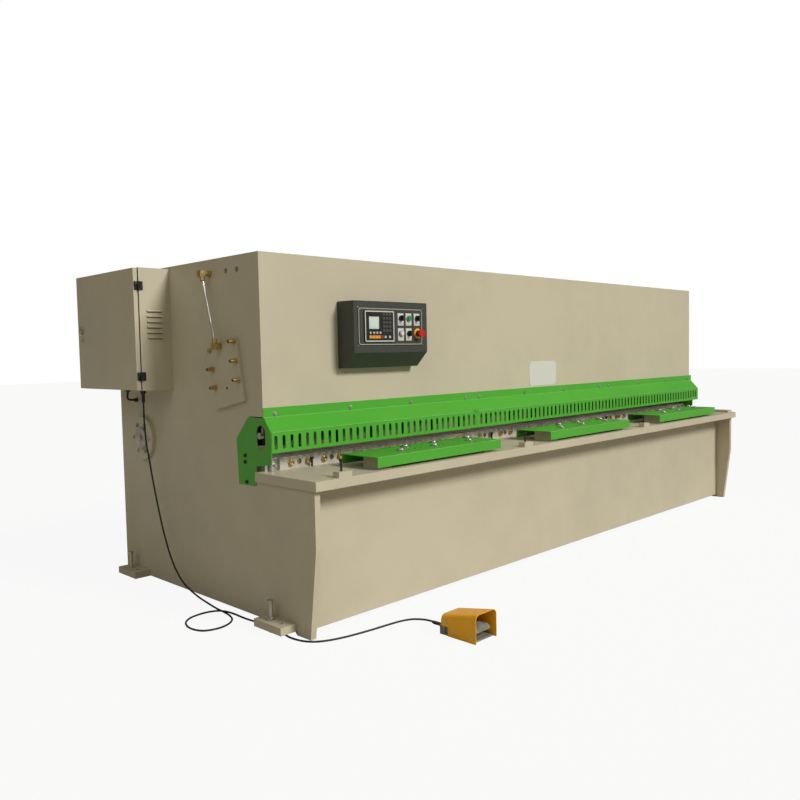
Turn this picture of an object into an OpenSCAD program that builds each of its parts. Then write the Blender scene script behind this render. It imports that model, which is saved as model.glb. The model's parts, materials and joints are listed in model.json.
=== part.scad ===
// Hydraulic guillotine shear with a swinging blade beam, for sheet up to four metres wide.
// Inside the modules x runs from the machine's middle, y runs back from the face of the
// front plate and z is the height over the floor. in_place() moves that to the part's own
// frame, whose origin is the bottom centre of the machine's box.

/* [Frame] */
// Distance from the end of a blade to the outer face of the side plate
blade_end = 110; // [90:5:150]
// Thickness of the side plates
side_t = 30; // [20:1:40]
// Height of the side plates and front plate
frame_h = 1700; // [1660:10:1900]
// Rear edge of the side plates behind the front plate's face
frame_rear = 1388; // [1360:1:1420]
// Thickness of the front plate
front_t = 30; // [20:1:40]
// Lower edge of the front plate over the lower cutting edge
front_open = 195; // [185:1:205]
// Depth of the throat notch in the side plates behind the front plate
throat_d = 100; // [80:1:110]
// Corner radius of the throat notch
throat_r = 30; // [10:1:40]
// Clearance under the side plates between the toes
toe_gap = 20; // [10:1:30]
// Thickness of the lower front panel
panel_t = 12; // [6:1:20]
// Recess of the lower front panel behind the table's edge
panel_recess = 137; // [100:1:220]

/* [Table] */
// Height of the worktable's top
table_h = 700; // [660:5:720]
// Thickness of the worktable
table_t = 43; // [30:1:50]
// Reach of the table's front edge before the front plate
table_front = 384; // [330:1:450]
// Rear edge of the table behind the front plate's face
table_rear = 55; // [50:1:70]
// Overhang of the table past each side plate
table_over = 15; // [5:1:25]

/* [Blades] */
// Length of the blades
blade_l = 4110; // [3200:10:4200]
// Height of each blade
blade_h = 80; // [60:1:90]
// Thickness of each blade
blade_t = 25; // [20:1:30]
// Height of the lower cutting edge over the worktable
cut_rise = 60; // [50:1:70]
// Front face of the lower blade's seat behind the front plate's face
seat_front = 20; // [10:1:30]
// Rear face of the lower blade
cut_y = 115; // [110:1:120]
// Gap between the upper and lower blade
blade_gap = 2; // [1:0.5:4]
// Rise of the upper blade from its left to its right end
blade_rise = 85; // [60:1:110]
// Opening under the left end of the raised upper blade
blade_open = 37; // [30:1:45]
// Backward lean of the raised upper blade, in degrees
blade_lean = 3.4; // [2.5:0.1:4]

/* [Blade beam] */
// Distance of the swing pivot behind the front plate's face
pivot_y = 1114; // [1080:1:1150]
// Height of the swing pivot over the lower cutting edge
pivot_rise = 35; // [20:1:50]
// Radius of the pivot journal
journal_r = 45; // [35:1:55]
// Running clearance of the journal
journal_gap = 0.4; // [0.2:0.1:1]
// Radius of the pivot flange
flange_r = 118; // [110:1:130]
// Thickness of the pivot flange
flange_t = 22; // [15:1:30]
// Thickness of the beam's end arms
arm_t = 30; // [20:1:40]
// Gap between an end arm and the side plate
arm_gap = 10; // [6:1:15]

/* [Hold-downs] */
// Number of hold-down cylinders
hold_n = 17; // [11:1:21]
// Radius of a hold-down cylinder
hold_r = 30; // [20:1:32]
// Lift of the hold-down feet over the lower cutting edge
hold_open = 28; // [25:1:35]

/* [Finger guard] */
// Sheet thickness of the guards
guard_t = 3; // [2:0.5:4]
// Lap of the finger guard's flange on the front plate
guard_lap = 41; // [30:1:60]
// Height of the finger guard's lower edge over the lower cutting edge
guard_open = 34; // [28:1:50]
// Reach of the slotted face before the front plate
guard_reach = 63; // [50:1:80]
// Pitch of the finger slots
slot_pitch = 45; // [35:1:60]
// Width of a finger slot
slot_w = 17; // [10:1:22]
// Height of a finger slot
slot_h = 63; // [40:1:70]
// Length of the shorter left section of the guard
guard_left_l = 1440; // [900:45:1800]
// Overhang of the guard past the right side plate
guard_over = 30; // [0:1:40]

/* [Ball trays] */
// Length of each ball tray
tray_l = 910; // [700:10:1000]
// Depth of each ball tray
tray_d = 245; // [200:5:350]
// Sheet thickness of the trays
tray_t = 4; // [3:0.5:6]
// Height of the folded tray's skirt
tray_skirt = 48; // [30:1:52]
// Left end of the first tray from the left side plate's face
tray_x = 366; // [300:1:400]

/* [Control box] */
// Width of the control box
control_w = 513; // [460:1:600]
// Depth of the control box
control_d = 120; // [90:1:150]
// Height of the control box
control_h = 327; // [300:1:360]
// Height of its lower edge
control_z = 1162; // [1150:1:1250]
// Left end of the control box from the left side plate's face
control_x = 457; // [300:1:900]

/* [Electrical cabinet] */
// Depth of the cabinet off the side plate
cabinet_d = 200; // [160:1:260]
// Width of the cabinet along the side plate
cabinet_w = 675; // [600:5:700]
// Height of the cabinet
cabinet_h = 620; // [600:5:700]
// Front edge of the cabinet behind the front plate's face
cabinet_y = 785; // [770:1:800]
// Height of the cabinet's lower edge
cabinet_z = 1068; // [1000:1:1080]
// Sheet thickness of the cabinet
sheet_t = 3; // [1.5:0.5:4]
// Depth of the door's folded edge
door_d = 22; // [15:1:30]
// Gap round the closed door
door_gap = 5; // [3:0.5:8]

/* [Feet] */
// Reach of the foot plates past the side plates
foot_w = 90; // [60:1:120]
// Length of a foot plate
foot_l = 200; // [140:5:240]
// Thickness of a foot plate
foot_t = 35; // [20:1:45]
// Levelling screw in the front feet, behind the front plate's face
foot_front_y = -85; // [-110:1:-60]
// Anchor hole in each foot in front of its levelling screw
anchor_step = 70; // [50:1:90]
// Levelling screw in the rear feet, behind the front plate's face
foot_rear_y = 1240; // [1200:1:1260]
// Radius of a levelling screw
screw_r = 10; // [8:1:12]
// Clearance of the screw in its hole
screw_gap = 1; // [0.5:0.5:2]

/* [Foot pedal] */
// Width of the pedal's hood
pedal_w = 142; // [110:1:180]
// Length of the pedal's hood
pedal_l = 195; // [170:1:210]
// Height of the pedal's hood
pedal_h = 125; // [115:1:150]
// Diameter of the pedal's cord
cord_d = 9; // [6:0.5:12]

/* [Hidden] */
$fn = 48;

paint = "#c9c09f";
green = "#4cab2d";
steel = "#b9b8b2";
half_l = blade_l / 2 + blade_end;
inner_x = half_l - side_t;
cut_h = table_h + cut_rise;
front_bottom = cut_h + front_open;
pivot_z = cut_h + pivot_rise;
guard_top = front_bottom + guard_lap;
guard_bottom = cut_h + guard_open;
lock_proud = 12;
box_left = half_l + cabinet_d + lock_proud;
box_right = half_l + foot_w;
box_rear = cabinet_y + cabinet_w;
origin_x = (box_right - box_left) / 2;
origin_y = (box_rear - table_front) / 2;

module in_place() {
    translate([-origin_x, -origin_y, 0]) children();
}

// A side outline drawn in y and z, as a plate or bar from x0 to x1
module along_x(x0, x1) {
    translate([x0, 0, 0]) rotate([90, 0, 90]) linear_extrude(x1 - x0) children();
}

// A front outline drawn in x and z, from y0 back to y1
module along_y(y0, y1) {
    translate([0, y1, 0]) rotate([90, 0, 0]) linear_extrude(y1 - y0) children();
}

module rod_x(x0, x1, y, z, r) {
    translate([x0, y, z]) rotate([0, 90, 0]) cylinder(h = x1 - x0, r = r);
}

module rod_y(y0, y1, x, z, r) {
    translate([x, y0, z]) rotate([-90, 0, 0]) cylinder(h = y1 - y0, r = r);
}

module block(x0, x1, y0, y1, z0, z1) {
    translate([x0, y0, z0]) cube([x1 - x0, y1 - y0, z1 - z0]);
}

// Side plates

toe_front = table_front - 81;
knee_front = table_front - 29;
knee_z = 400;
toe_l = 95;
bearing_gap = 0.3;
spigot_r = journal_r + 30;

module side_outline() {
    table_z = table_h - table_t;
    throat_y = front_t + throat_d;
    difference() {
        polygon([[-toe_front, 0], [-knee_front, knee_z], [-knee_front, table_z],
                 [throat_y - throat_r, table_z], [throat_y, table_z + throat_r],
                 [throat_y, front_bottom - throat_r], [throat_y - throat_r, front_bottom],
                 [front_t, front_bottom], [front_t, frame_h], [frame_rear - 40, frame_h],
                 [frame_rear, frame_h - 40], [frame_rear, 0], [frame_rear - toe_l, 0],
                 [frame_rear - toe_l - toe_gap, toe_gap], [toe_l + toe_gap - toe_front, toe_gap],
                 [toe_l - toe_front, 0]]);
        translate([pivot_y, pivot_z]) circle(r = spigot_r + bearing_gap, $fn = 64);
    }
}

module left_side_plate() {
    color(paint) difference() {
        along_x(-half_l, -inner_x) side_outline();
        for (y = [263, 171]) rod_x(-half_l - 1, -inner_x + 1, y, frame_h - 66, 14);
    }
}

module right_side_plate() {
    color(paint) along_x(inner_x, half_l) side_outline();
}

// Front

module front_plate() {
    color(paint) block(-half_l, half_l, 0, front_t, front_bottom, frame_h);
}

module front_panel() {
    y = panel_recess - table_front;
    color(paint) block(-inner_x, inner_x, y, y + panel_t, toe_gap, table_h - table_t);
}

module worktable() {
    end = half_l + table_over;
    clip = 40;
    color(paint) translate([0, 0, table_h - table_t]) linear_extrude(table_t)
        polygon([[-end, -table_front], [end, -table_front], [end, table_rear - clip],
                 [end - clip, table_rear], [-end, table_rear]]);
}

// Blade seat and lower blade

seat_bolt_pitch = 100;
seat_hole_r = 14;
seat_hole_n = floor(blade_l / seat_bolt_pitch / 4);
seat_bolt_z = cut_h - 31;
seat_foot = table_h - 220;
seat_end = blade_l / 2 + 9;
seat_step = 18;

module lower_blade_seat() {
    rear = cut_y - blade_t;
    color(steel) difference() {
        along_x(-inner_x, inner_x)
            polygon([[seat_front, table_h], [seat_front, cut_h - 1], [rear, cut_h - 1],
                     [rear, cut_h - blade_h], [cut_y - 5, cut_h - blade_h],
                     [cut_y - 5, seat_foot], [table_rear, seat_foot], [table_rear, table_h]]);
        for (x = [-inner_x - 1, seat_end])
            block(x, x + inner_x - seat_end + 1, seat_front - 1, seat_front + seat_step,
                  table_h - 1, cut_h);
        for (i = [-seat_hole_n : seat_hole_n - 1])
            rod_y(seat_front - 1, seat_front + 18, seat_bolt_pitch * (2 * i + 0.5),
                  seat_bolt_z, seat_hole_r);
    }
}

module lower_blade() {
    color("silver") block(-blade_l / 2, blade_l / 2, cut_y - blade_t, cut_y,
                          cut_h - blade_h, cut_h);
}

// Finger guard

guard_slope_top = guard_top - 44;
guard_slope_end = guard_bottom + 94;
slot_z = guard_bottom + 47;
guard_seam = 1;

module guard_bend() {
    polygon([[0, guard_top], [-guard_t, guard_top], [-guard_t, guard_slope_top],
             [-guard_reach, guard_slope_end], [-guard_reach, guard_slope_end - 6],
             [guard_t - guard_reach, guard_slope_end - 6],
             [guard_t - guard_reach, guard_slope_end - 1], [0, guard_slope_top - 1]]);
}

module guard_face(x0, x1) {
    span = x1 - x0;
    n = floor(span / slot_pitch);
    first = x0 + (span - (n - 1) * slot_pitch) / 2;
    round_r = slot_w / 2;
    half_slot = slot_h / 2 - round_r;
    along_y(-guard_reach, guard_t - guard_reach) difference() {
        translate([x0, guard_bottom]) square([span, guard_slope_end - guard_bottom]);
        for (i = [0 : n - 1]) translate([first + i * slot_pitch, slot_z]) {
            translate([-round_r, -half_slot]) square([slot_w, 2 * half_slot]);
            translate([0, half_slot]) circle(r = round_r, $fn = 24);
            translate([0, -half_slot]) circle(r = round_r, $fn = 24);
        }
    }
}

module guard_section(x0, x1) {
    color(green) union() {
        along_x(x0, x1) guard_bend();
        guard_face(x0, x1);
    }
}

module finger_guard_left() {
    guard_section(-half_l, guard_left_l - half_l);
}

module finger_guard_right() {
    guard_section(guard_left_l - half_l + guard_seam, half_l + guard_over);
}

window_y = 16;
window_r = 32;
window_zs = [cut_h + 76, cut_h + 125];

// Outline of an end guard whose front edge stands at y = front and slopes back to y = top
module end_outline(front, top) {
    polygon([[front, cut_h - 18], [front, guard_slope_end], [top, front_bottom - 5],
             [110, front_bottom - 2], [213, cut_h + 87], [203, table_h - 68],
             [66, table_h - 66], [61, cut_h - 34]]);
}

module left_end_guard() {
    color(green) along_x(-half_l - guard_t, -half_l) difference() {
        end_outline(3 - guard_reach, -14);
        for (z = window_zs) translate([window_y, z]) circle(r = window_r);
        translate([window_y - window_r, window_zs[0]])
            square([2 * window_r, window_zs[1] - window_zs[0]]);
    }
}

module right_end_guard() {
    color(green) along_x(half_l, half_l + guard_t) end_outline(-30, 4);
}

// Control box

box_x = control_x - half_l;

module control_outline(wall) {
    slope = 75;
    corner = wall * 0.4;
    polygon([[-wall, control_z + wall], [slope - control_d + corner, control_z + wall],
             [wall - control_d, control_z + slope + corner],
             [wall - control_d, control_z + control_h - wall],
             [-wall, control_z + control_h - wall]]);
}

module control_box() {
    color("#343830") difference() {
        along_x(box_x, box_x + control_w) control_outline(0);
        along_x(box_x + sheet_t, box_x + control_w - sheet_t) control_outline(sheet_t);
    }
}

fascia_t = 3;
fascia_x = box_x + 26;
fascia_w = control_w - 65;
fascia_z = control_z + 111;
fascia_h = 183;
fascia_y = -control_d - fascia_t;
row_high = fascia_z + 135;
row_low = fascia_z + 58;
col_1 = fascia_x + 290;
col_2 = fascia_x + 347;
col_3 = fascia_x + 407;
col_stop = fascia_x + 413;
controller_x = fascia_x + 37;
controller_w = 198;
controller_z = fascia_z + 17;
controller_h = 151;
button_r = 11;
button_gap = 0.4;
stop_stem_r = 11;

module collar(x, z, r, bore, reach) {
    difference() {
        rod_y(fascia_y - reach, fascia_y + 1, x, z, r);
        rod_y(fascia_y - reach - 1, fascia_y + 2, x, z, bore);
    }
}

module control_fascia() {
    color("#3a3e36") union() {
        fascia_sheet();
        collar(col_2, row_high, button_r + 4, button_r + button_gap, 8);
        collar(col_1, row_low, button_r + 4, button_r + button_gap, 8);
        collar(col_stop, row_low, stop_stem_r + 4, stop_stem_r + button_gap, 10);
    }
}

module fascia_sheet() {
    corner = 12;
    along_y(fascia_y, -control_d) difference() {
        union() {
            translate([fascia_x + corner, fascia_z]) square([fascia_w - 2 * corner, fascia_h]);
            translate([fascia_x, fascia_z + corner]) square([fascia_w, fascia_h - 2 * corner]);
            for (x = [corner, fascia_w - corner], z = [corner, fascia_h - corner])
                translate([fascia_x + x, fascia_z + z]) circle(r = corner);
        }
        translate([controller_x, controller_z]) square([controller_w, controller_h]);
    }
}

module controller() {
    color("#2b2d2e") difference() {
        block(controller_x + 0.2, controller_x + controller_w - 0.2, fascia_y - 7, -control_d,
              controller_z + 0.2, controller_z + controller_h - 0.2);
        block(controller_x + 28, controller_x + 98, fascia_y - 8, fascia_y - 4,
              controller_z + 62, controller_z + 124);
    }
}

button_lift = 6;

module push_button(x, z) {
    rod_y(fascia_y - 14, fascia_y - button_lift, x, z, button_r);
}

module green_button() {
    color("#2f9a4a") push_button(col_2, row_high);
}

module white_button() {
    color("#e8d8d8") push_button(col_1, row_low);
}

module selector(x, z) {
    color("#1d1d1f") union() {
        rod_y(fascia_y - 8, fascia_y - 0.3, x, z, 14);
        block(x - 4, x + 4, fascia_y - 22, fascia_y - 7, z - 14, z + 14);
    }
}

module selector_left() {
    selector(col_1, row_high);
}

module selector_right() {
    selector(col_3, row_high);
}

module selector_lower() {
    selector(col_2, row_low);
}

module emergency_stop() {
    color("#c4201c") union() {
        rod_y(fascia_y - 34, fascia_y - 21, col_stop, row_low, 20);
        rod_y(fascia_y - 22, fascia_y - button_lift, col_stop, row_low, stop_stem_r);
    }
}

// Electrical cabinet

cab_x = -half_l - cabinet_d;
cab_rim = cab_x + door_d + door_gap;
cab_rear = cabinet_y + cabinet_w;
cab_top = cabinet_z + cabinet_h;
hinge_x = cab_rim - door_gap / 2;
hinge_y = cabinet_y - 7;
hinge_r = 7;
hinge_h = 43;
hinge_pin_r = 3;
hinge_zs = [cabinet_z + 50, cab_top - 113];
lock_y = cab_rear - 62;
lock_z = cabinet_z + 319;
louvre_n = 6;
louvre_pitch = 27;
louvre_z = cab_top - 225;

module cabinet_body() {
    color(paint) difference() {
        block(cab_rim, -half_l, cabinet_y, cab_rear, cabinet_z, cab_top);
        block(cab_rim - 1, -half_l - sheet_t, cabinet_y + sheet_t, cab_rear - sheet_t,
              cabinet_z + sheet_t, cab_top - sheet_t);
        for (i = [0 : louvre_n - 1])
            block(cab_x + 69, cab_x + 147, cabinet_y - 1, cabinet_y + sheet_t + 1,
                  louvre_z - i * louvre_pitch, louvre_z + 8 - i * louvre_pitch);
        rod_hole = 10;
        translate([cab_x + 100, cabinet_y + 140, cabinet_z - 1])
            cylinder(h = sheet_t + 2, r = rod_hole);
    }
}

module cabinet_mounting_plate() {
    back = -half_l - sheet_t;
    color("#d8b24a") union() {
        block(back - 22, back - 20, cabinet_y + 45, cab_rear - 45, cabinet_z + 45, cab_top - 45);
        for (y = [cabinet_y + 60, cab_rear - 60], z = [cabinet_z + 60, cab_top - 60])
            rod_x(back - 20, back, y, z, 8);
    }
}

module cabinet_door() {
    y0 = cabinet_y + 3;
    y1 = cab_rear - 3;
    z0 = cabinet_z + 3;
    z1 = cab_top - 3;
    color(paint) union() {
        difference() {
            block(cab_x, cab_x + door_d, y0, y1, z0, z1);
            block(cab_x + sheet_t, cab_x + door_d + 1, y0 + sheet_t, y1 - sheet_t,
                  z0 + sheet_t, z1 - sheet_t);
            rod_x(cab_x - 1, cab_x + sheet_t + 1, lock_y, lock_z, 11);
        }
        for (z = hinge_zs) difference() {
            union() {
                translate([hinge_x, hinge_y, z + hinge_h / 2 + 0.5])
                    cylinder(h = hinge_h / 2 - 0.5, r = hinge_r);
                block(cab_x + 4, hinge_x, hinge_y, y0 + 1, z + hinge_h / 2 + 0.5,
                      z + hinge_h);
            }
            translate([hinge_x, hinge_y, z]) cylinder(h = hinge_h + 1, r = hinge_pin_r + 0.3);
        }
    }
}

module door_hinges() {
    color("#202022") for (z = hinge_zs) union() {
        translate([hinge_x, hinge_y, z]) cylinder(h = hinge_h / 2, r = hinge_r);
        translate([hinge_x, hinge_y, z]) cylinder(h = hinge_h, r = hinge_pin_r);
        block(hinge_x, cab_rim + 20, cabinet_y - 5, cabinet_y - 0.01, z, z + hinge_h / 2);
        block(hinge_x + 12, cab_rim + 20, cabinet_y - 5, cabinet_y - 0.01, z, z + hinge_h);
    }
}

module door_lock() {
    color("#6f7070") union() {
        rod_x(cab_x - lock_proud, cab_x, lock_y, lock_z, 14);
        rod_x(cab_x - 1, cab_x + 14, lock_y, lock_z, 10.7);
        block(cab_x + 10, cab_x + 14, lock_y - 8, lock_y + 40, lock_z - 8, lock_z + 8);
    }
}

// Swing pivot

module pivot_flange(side) {
    color(paint) mirror([side > 0 ? 1 : 0, 0, 0]) difference() {
        union() {
            rod_x(-half_l - flange_t, -half_l, pivot_y, pivot_z, flange_r);
            rod_x(-half_l - 1, -inner_x, pivot_y, pivot_z, spigot_r);
        }
        rod_x(-half_l - 2, -inner_x + 1, pivot_y, pivot_z, journal_r + journal_gap);
    }
}

module pivot_flange_left() {
    pivot_flange(-1);
}

module pivot_flange_right() {
    pivot_flange(1);
}

// Guide plates and oil pipe

module guide_plate(side) {
    color(paint) mirror([side > 0 ? 1 : 0, 0, 0]) along_x(-half_l - guide_t, -half_l)
        polygon([[170, pivot_z + 519], [118, pivot_z + 231], [361, pivot_z + 182],
                 [413, pivot_z + 471]]);
}

module guide_plate_left() {
    guide_plate(-1);
}

module guide_plate_right() {
    guide_plate(1);
}

guide_t = 20;
pipe_x = -half_l - guide_t - 27;
elbow = 30;
elbow_high = [400, frame_h - 70];
elbow_low = [298, pivot_z + 486];

// A port block on the pipe's end, with its stub into the plate at x1
module pipe_elbow(place, x1) {
    rod_x(pipe_x, x1, place[0], place[1], 10);
    rod_x(x1 - 9, x1, place[0], place[1], 15);
    translate([pipe_x, place[0], place[1]]) cube(elbow, center = true);
}

module pipe_fittings() {
    color("#c09a50") union() {
        pipe_elbow(elbow_high, -half_l);
        pipe_elbow(elbow_low, -half_l - guide_t);
    }
}

module oil_pipe() {
    rise = elbow_high[1] - elbow_low[1];
    run = elbow_high[0] - elbow_low[0];
    color("#c9c6b4") intersection() {
        translate([pipe_x, elbow_low[0], elbow_low[1]]) rotate([-atan2(run, rise), 0, 0])
            cylinder(h = norm([rise, run]), r = 6);
        block(pipe_x - 10, pipe_x + 10, 0, cabinet_y, elbow_low[1] + elbow / 2,
              elbow_high[1] - elbow / 2);
    }
}

// Feet

module foot(y) {
    difference() {
        block(-half_l - foot_w, -half_l, y - foot_l / 2 - 25, y + foot_l / 2 - 25, toe_gap,
              toe_gap + foot_t);
        for (hole_y = [y, y - anchor_step])
            translate([-half_l - 50, hole_y, 0]) cylinder(h = 100, r = screw_r + screw_gap);
    }
}

module feet(side) {
    color(paint) mirror([side > 0 ? 1 : 0, 0, 0]) {
        foot(foot_front_y);
        foot(foot_rear_y);
    }
}

module feet_left() {
    feet(-1);
}

module feet_right() {
    feet(1);
}

module levelling_screws() {
    color(steel) for (x = [-half_l - 50, half_l + 50], y = [foot_front_y, foot_rear_y])
        translate([x, y, 0]) union() {
            cylinder(h = 140, r = screw_r);
            translate([0, 0, 132]) cylinder(h = 14, r = 17, $fn = 6);
            translate([0, 0, toe_gap + foot_t]) cylinder(h = 12, r = 17, $fn = 6);
        }
}

// Ball trays

tray_front = table_front - 23;
tray_top = cut_h;
tray_x0 = tray_x - half_l;
tray_pitch = (2 * half_l - 250) / 3;
tray_starts = [tray_x0, tray_x0 + tray_pitch + 23, tray_x0 + 2 * tray_pitch];
dimple_r = 8;
dimple_pitch = 38.5;
dimple_y = 96;
dimple_groups = [0.397, 0.672];

module ball_tray(i) {
    x = tray_starts[i];
    z = tray_top - tray_skirt;
    color(green) difference() {
        along_x(x, x + tray_l) difference() {
            translate([-tray_front, z]) square([tray_d, tray_skirt]);
            translate([tray_t - tray_front, z - 1]) square([tray_d - 2 * tray_t,
                                                           tray_skirt - tray_t + 1]);
        }
        for (group = dimple_groups, k = [-1.5 : 1.5])
            translate([x + group * tray_l + k * dimple_pitch, dimple_y - tray_front,
                       tray_top - tray_t - 1]) cylinder(h = tray_t + 2, r = dimple_r, $fn = 20);
    }
}

module ball_tray_left() {
    ball_tray(0);
}

module ball_tray_middle() {
    ball_tray(1);
}

module ball_tray_right() {
    ball_tray(2);
}

module tray_blocks() {
    color(paint) for (start = tray_starts, reach = [50, tray_l - 110])
        block(start + reach, start + reach + 60, 24 - tray_front, 150 - tray_front, table_h,
              tray_top - tray_t);
}

pad_h = 26;
pad_w = 76;
pad_step = 40;
pad_xs = [tray_starts[0] - 252, tray_starts[1] - 288, tray_starts[2] - 270];

module table_pads() {
    end = half_l + table_over;
    color(paint) {
        for (x = pad_xs)
            block(x, x + pad_w, -table_front, pad_step - table_front, table_h, table_h + pad_h);
        block(end - 70, end, 34 - table_front, 170 - table_front, table_h, table_h + 16);
    }
}

module stop_pin(h) {
    color("#1c1c1c") union() {
        cylinder(h = h - 10, r = 5);
        translate([0, 0, h - 11]) cylinder(h = 11, r = 9);
    }
}

module stop_pins() {
    for (i = [0 : 2]) {
        translate([pad_xs[i] + 30, pad_step / 2 - table_front, table_h + pad_h]) stop_pin(53);
        translate([tray_starts[i] - 88, 3, table_h]) stop_pin(45);
    }
}

// Blade beam with its blade, arms and journals

edge_y = cut_y + blade_gap;
edge_z = cut_h + blade_open;
rake = atan2(blade_rise, blade_l);
edge_r = norm([pivot_y - edge_y, pivot_z - edge_z]);
edge_end_y = pivot_y - sqrt(pow(edge_r, 2) - pow(edge_z + blade_rise - pivot_z, 2));
yaw = atan2(edge_end_y - edge_y, blade_l);
arm_x = inner_x - arm_gap;

// The upper blade's own frame: its lower front edge, left end, along its length
module at_edge() {
    translate([-blade_l / 2, edge_y, edge_z]) rotate([0, 0, yaw]) rotate([0, -rake, 0])
        rotate([-blade_lean, 0, 0]) children();
}

module upper_blade() {
    color("silver") at_edge() cube([blade_l, blade_t, blade_h]);
}

hub_r = 115;

module arm_outline() {
    low = cut_h + 120;
    high = cut_h + 390;
    polygon([[cut_y + 60, low], [cut_y + 60, high], [ram_y + 120, high],
             [pivot_y, pivot_z + hub_r], [pivot_y, pivot_z - hub_r], [pivot_y - 494, cut_h]]);
    translate([pivot_y, pivot_z]) circle(r = hub_r, $fn = 64);
}

// Section of the closed box behind the blade
module box_outline() {
    polygon([[cut_y + 70, cut_h + 145], [cut_y + 70, cut_h + 360], [ram_y, cut_h + 390],
             [ram_y + 120, cut_h + 350], [ram_y + 120, cut_h + 240]]);
}

module blade_beam() {
    color("#8d8f83") union() {
        at_edge() translate([-18, blade_t, 12]) cube([blade_l + 36, 40, 320]);
        along_x(-arm_x + 5, arm_x - 5) difference() {
            box_outline();
            offset(delta = -20) box_outline();
        }
        for (side = [0, 1]) mirror([side, 0, 0]) {
            along_x(-arm_x, arm_t - arm_x) arm_outline();
            rod_x(-half_l + 3, -arm_x + 1, pivot_y, pivot_z, journal_r);
        }
    }
}

gauge_y = 560;
gauge_end = blade_l / 2 - 155;
gauge_arm_x = blade_l / 2 - 555;

module back_gauge() {
    color(steel) union() {
        block(-gauge_end, gauge_end, gauge_y, gauge_y + 20, cut_h + 10, cut_h + 110);
        block(-gauge_end, gauge_end, gauge_y + 20, gauge_y + 80, cut_h + 40, cut_h + 90);
        for (x = [-gauge_arm_x, gauge_arm_x]) {
            block(x - 40, x + 40, ram_y + 120, gauge_y + 340, cut_h + 90, cut_h + 150);
            block(x - 40, x + 40, ram_y + 120, ram_y + 165, cut_h + 90, cut_h + 340);
        }
    }
}

// Hold-downs behind the finger guard

module hold_downs() {
    top = front_bottom - 45;
    foot_z = cut_h + hold_open;
    pitch = (blade_l - 250) / (hold_n - 1);
    color("#9a9c92") union() {
        block(-inner_x, inner_x, front_t, 96, top, front_bottom + 45);
        for (i = [0 : hold_n - 1]) translate([pitch * (i - (hold_n - 1) / 2), 62, 0]) {
            translate([0, 0, foot_z + 40]) cylinder(h = top - foot_z - 39, r = hold_r);
            translate([0, 0, foot_z + 8]) cylinder(h = 33, r = 18);
            translate([0, 0, foot_z]) cylinder(h = 9, r = 24);
        }
    }
}

// Rear and top ties

module rear_tie_beam() {
    color(paint) along_x(-inner_x, inner_x) difference() {
        translate([frame_rear - 210, 90]) square([180, 200]);
        translate([frame_rear - 198, 102]) square([156, 176]);
    }
}

tank_y = 640;

module oil_tank() {
    wall = 6;
    color(paint) difference() {
        block(-inner_x, inner_x, tank_y, tank_y + 320, frame_h - 400, frame_h - 60);
        block(wall - inner_x, inner_x - wall, tank_y + wall, tank_y + 320 - wall,
              frame_h - 400 + wall, frame_h - 60 - wall);
    }
}

// Sheet that carries the cut pieces down behind the blade

slope_t = 4;
slope_end_y = frame_rear - 210;
slope_end_z = 270;

module delivery_slope() {
    top_y = cut_y - 5;
    top_z = table_h - 60;
    end = arm_x - arm_t - 15;
    color(paint) along_x(-end, end)
        polygon([[top_y, top_z - 60], [top_y, top_z], [slope_end_y, slope_end_z],
                 [slope_end_y, slope_end_z - 50], [slope_end_y - slope_t, slope_end_z - 50],
                 [slope_end_y - slope_t, slope_end_z - 3], [top_y + slope_t, top_z - 6],
                 [top_y + slope_t, top_z - 60]]);
}

// Main cylinders

ram_x = inner_x - 175;
ram_y = 300;
ram_r = 35;
pad_top = cut_h + 390;

module cylinder_barrels() {
    color("#7c7f78") for (x = [-ram_x, ram_x]) difference() {
        union() {
            translate([x, ram_y, pad_top + 130]) cylinder(h = 330, r = 80, $fn = 64);
            block(x - 110, x + 110, front_t, ram_y + 90, pad_top + 290, pad_top + 330);
        }
        translate([x, ram_y, pad_top + 120]) cylinder(h = 300, r = ram_r + 0.4);
    }
}

module cylinder_rods() {
    color("silver") for (x = [-ram_x, ram_x])
        translate([x, ram_y, pad_top + 3]) cylinder(h = 400, r = ram_r);
}

// Foot pedal with its cord

pedal_x0 = -1734;
pedal_y0 = -867;
pedal_t = 2.5;
pedal_mid = pedal_x0 + pedal_w / 2;
treadle_y = -714;
treadle_z = 44;
treadle_w = 100;

hood_drop = 36;
hood_cut_l = 38;
hood_cut_h = 40;
base_h = 8;
block_h = 39.5;
cord_in_x = pedal_x0 + 29;
cord_in_z = 30;

// The hood's arched body, or its hollow, lower at the rear than at the front
module hood_body(front, back, inset) {
    r = 26 - inset;
    w = pedal_w - 2 * inset;
    hull() for (end = [[front, pedal_h - inset], [back - 1, pedal_h - hood_drop - inset]])
        along_y(end[0], end[0] + 1) translate([pedal_x0 + inset, 0]) {
            translate([0, -inset]) square([w, 2]);
            for (x = [r, w - r]) translate([x, end[1] - r]) circle(r = r);
        }
}

module pedal_hood() {
    back = pedal_y0 + pedal_l;
    color("#e39a14") difference() {
        hood_body(pedal_y0, back, 0);
        hood_body(pedal_y0 - 2, back - pedal_t, pedal_t);
        block(pedal_x0 - 1, pedal_x0 + pedal_w + 1, back - hood_cut_l, back + 1, -1, hood_cut_h);
    }
}

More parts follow.
